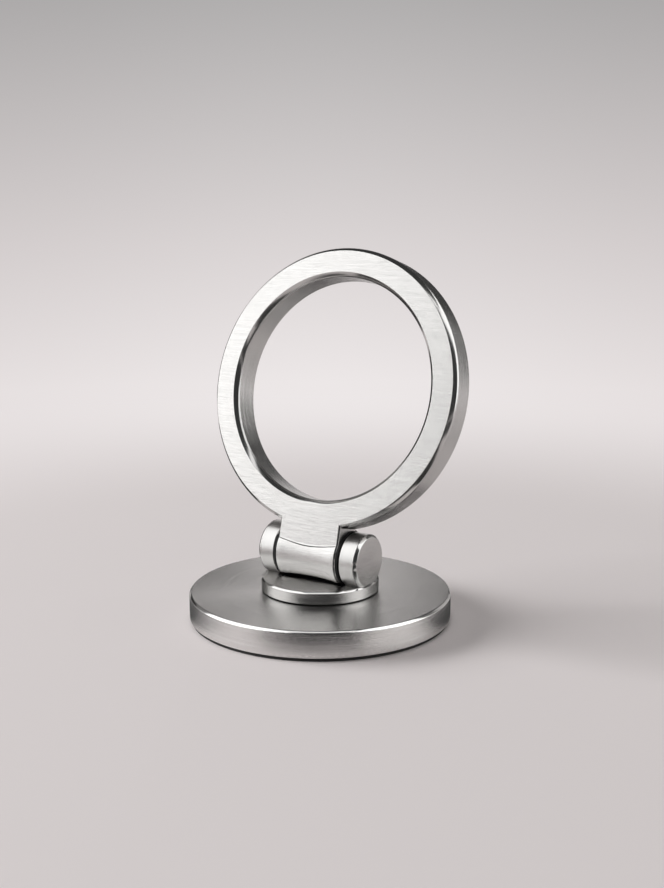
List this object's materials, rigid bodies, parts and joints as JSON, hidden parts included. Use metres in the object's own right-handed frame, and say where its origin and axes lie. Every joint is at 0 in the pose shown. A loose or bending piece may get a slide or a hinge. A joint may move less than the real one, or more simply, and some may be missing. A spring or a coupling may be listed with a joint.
{
  "type": "phone finger ring",
  "caption": "Round stick-on base disc with a swivelling turntable and a flat, chamfered finger ring that flips on a hinge pin to hold or prop up a phone.",
  "frame": {"origin": "centre of the adhesive pad's underside, where the part meets the phone", "axes": "+Z away from the phone along the swivel axis, X along the hinge pin, the ring's front face towards -Y"},
  "size_m": [0.032, 0.03, 0.0419],
  "materials": {
    "satin_metal": "fine satin brushing, bright chamfers",
    "bright_steel": "plain bright steel",
    "black_plastic": "moulded, matte black",
    "foam_tape": "matte black foam tape"
  },
  "bodies": {
    "base": {"base_disc": "satin_metal", "cover_plate": "bright_steel", "adhesive_pad": "foam_tape", "swivel_bush": "black_plastic"},
    "swivel": {"turntable": "satin_metal", "hinge_pin": "bright_steel", "end_cap_left": "satin_metal", "end_cap_right": "satin_metal", "disc_spring": "bright_steel", "retaining_clip": "bright_steel"},
    "ring": {"finger_ring": "satin_metal", "hinge_bush_left": "black_plastic", "hinge_bush_right": "black_plastic"}
  },
  "joints": [
    {"name": "swivel_turn", "type": "hinge", "parent": "base", "child": "swivel", "pos_m": [0, 0, 0], "axis": [0, 0, 1], "continuous": true},
    {"name": "ring_flip", "type": "hinge", "parent": "swivel", "child": "ring", "pos_m": [0, 0, 0.0074], "axis": [-1, 0, 0], "range_deg": [-88, 86]}
  ]
}
